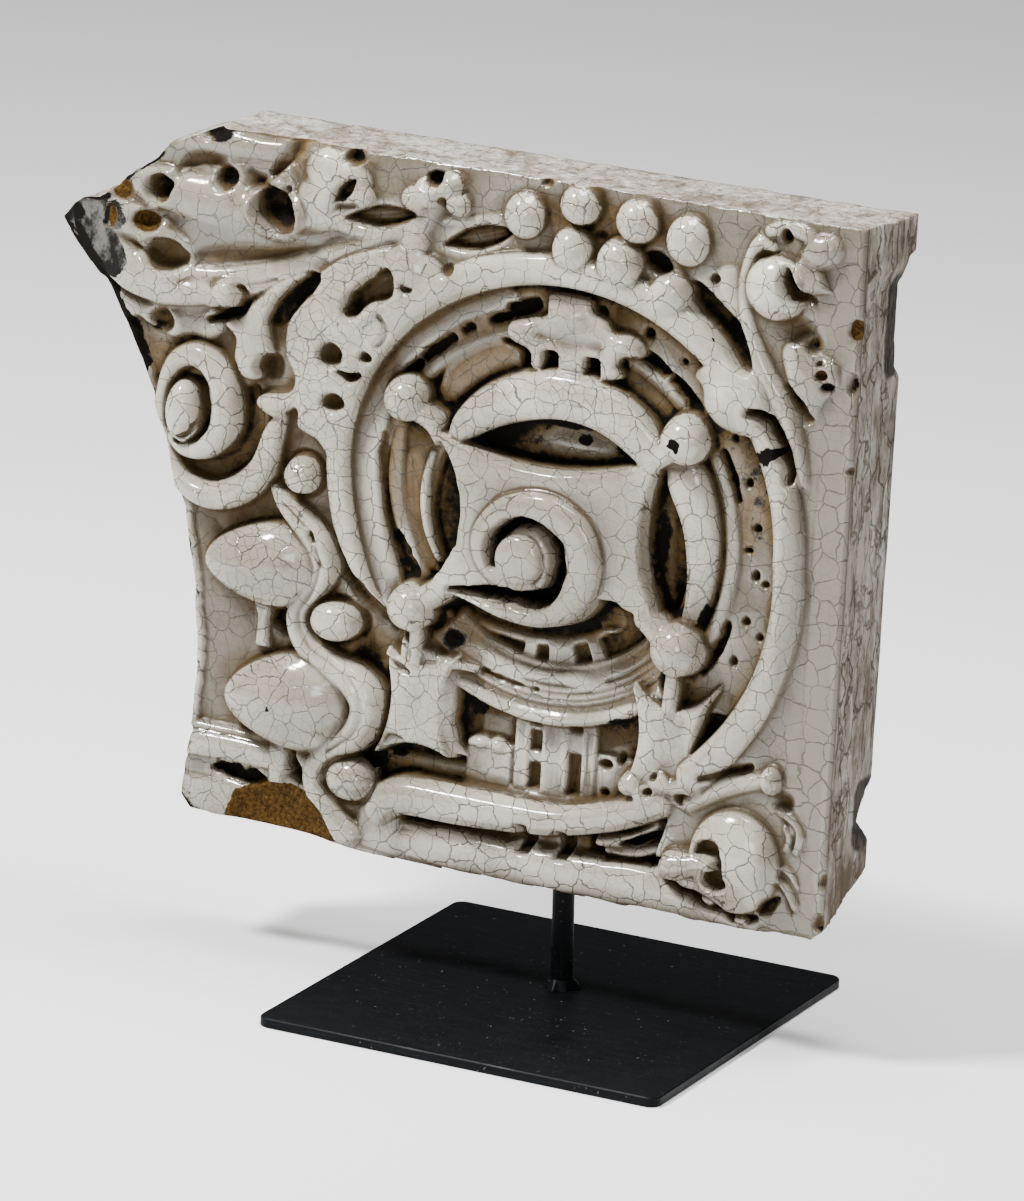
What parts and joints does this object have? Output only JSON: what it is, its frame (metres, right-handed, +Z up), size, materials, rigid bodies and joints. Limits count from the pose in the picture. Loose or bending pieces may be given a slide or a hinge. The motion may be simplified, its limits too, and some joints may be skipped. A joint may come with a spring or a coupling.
{
  "type": "terracotta facade panel",
  "caption": "Broken corner of a glazed terracotta facade panel, carved with rings, a scrolled star, eggs and leaves, held up on a steel rod and base plate.",
  "frame": {"origin": "middle of the base plate's underside", "axes": "+Z up, -Y the way the carved face looks, +X towards the panel's unbroken right-hand edge as seen from in front"},
  "size_m": [0.562, 0.283, 0.5274],
  "materials": {
    "glazed_terracotta": "crazed cream glaze, stained in the hollows, over brown clay",
    "blackened_steel": "blackened mild steel, satin"
  },
  "bodies": {
    "root": {"terracotta_panel": "glazed_terracotta", "steel_rod": "blackened_steel", "base_plate": "blackened_steel"}
  },
  "joints": []
}
